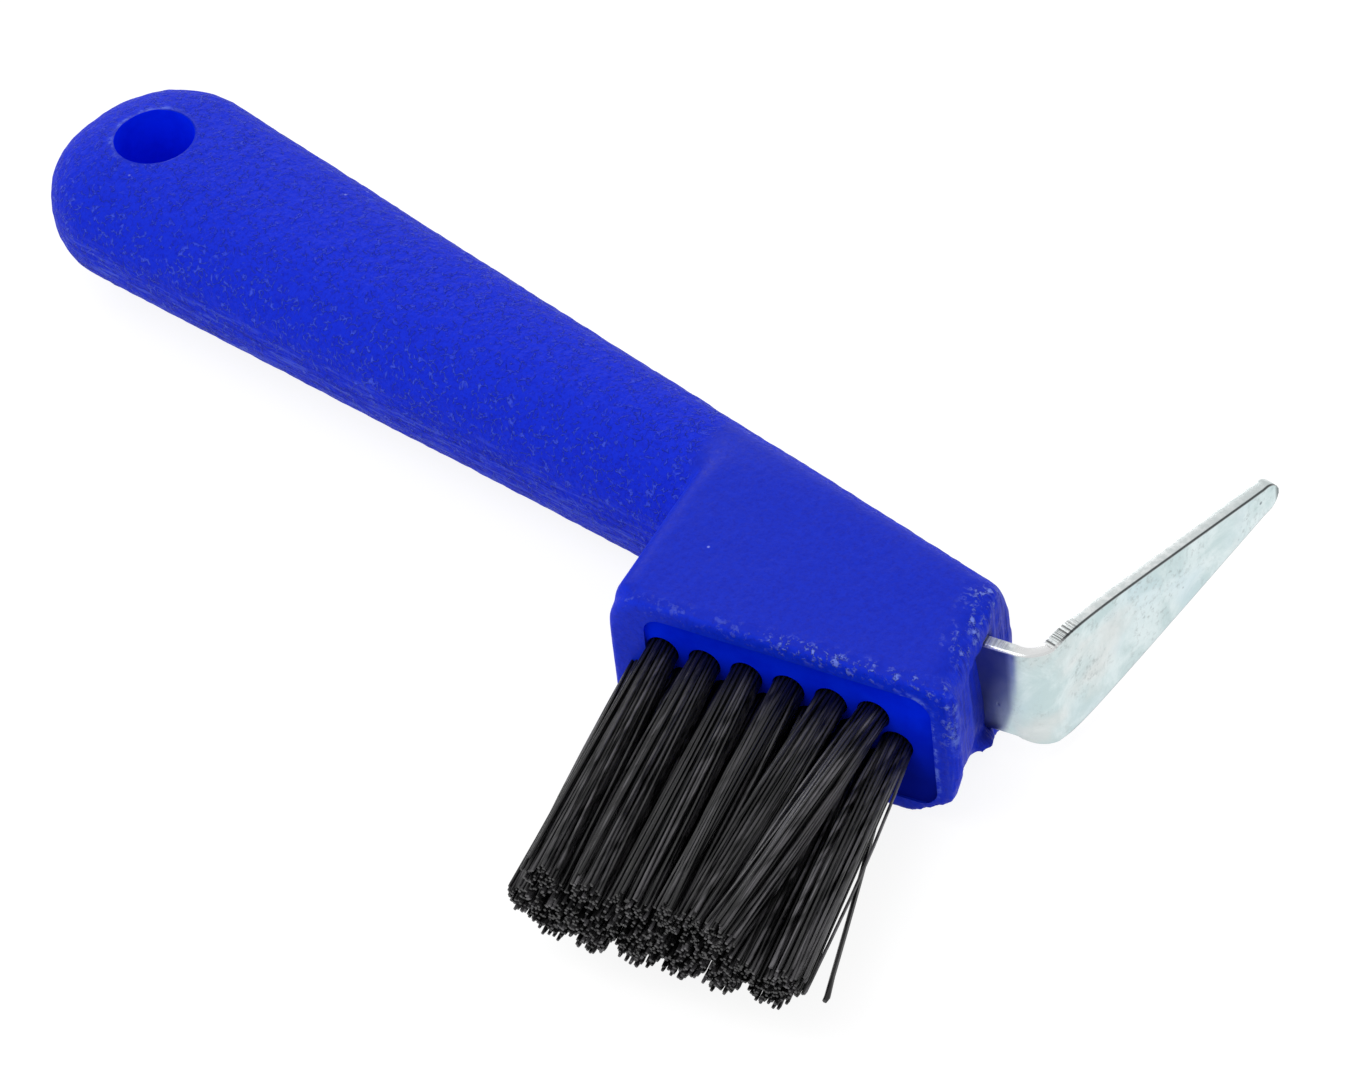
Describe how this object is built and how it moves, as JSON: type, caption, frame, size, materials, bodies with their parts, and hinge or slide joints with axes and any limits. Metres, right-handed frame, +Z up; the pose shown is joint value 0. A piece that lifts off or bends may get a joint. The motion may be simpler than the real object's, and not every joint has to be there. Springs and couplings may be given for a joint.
{
  "type": "hoof pick",
  "caption": "Hoof pick with a tapering moulded handle, a hang hole, a head with rows of stiff bristles, and a bent, tapering steel blade.",
  "frame": {"origin": "the centre of the head's flat lower side, on which the tool lies", "axes": "+X along the handle towards the head and blade, +Y from the bristles towards the blade's point, +Z up through the head's thickness"},
  "size_m": [0.172, 0.1053, 0.0234],
  "materials": {
    "moulded_plastic": "leather-grained moulded plastic, smooth on the head",
    "plated_steel": "zinc plated, bright and lightly mottled",
    "bristle": "black extruded filament",
    "anchor_wire": "flattened plain wire"
  },
  "bodies": {
    "root": {"handle": "moulded_plastic", "pick_blade": "plated_steel", "bristle_row_lower": "bristle", "bristle_row_middle": "bristle", "bristle_row_upper": "bristle", "tuft_anchor_01": "anchor_wire", "tuft_anchor_02": "anchor_wire", "tuft_anchor_03": "anchor_wire", "tuft_anchor_04": "anchor_wire", "tuft_anchor_05": "anchor_wire", "tuft_anchor_06": "anchor_wire", "tuft_anchor_07": "anchor_wire", "tuft_anchor_08": "anchor_wire", "tuft_anchor_09": "anchor_wire", "tuft_anchor_10": "anchor_wire", "tuft_anchor_11": "anchor_wire", "tuft_anchor_12": "anchor_wire", "tuft_anchor_13": "anchor_wire", "tuft_anchor_14": "anchor_wire", "tuft_anchor_15": "anchor_wire", "tuft_anchor_16": "anchor_wire", "tuft_anchor_17": "anchor_wire", "tuft_anchor_18": "anchor_wire", "tuft_anchor_19": "anchor_wire"}
  },
  "joints": []
}
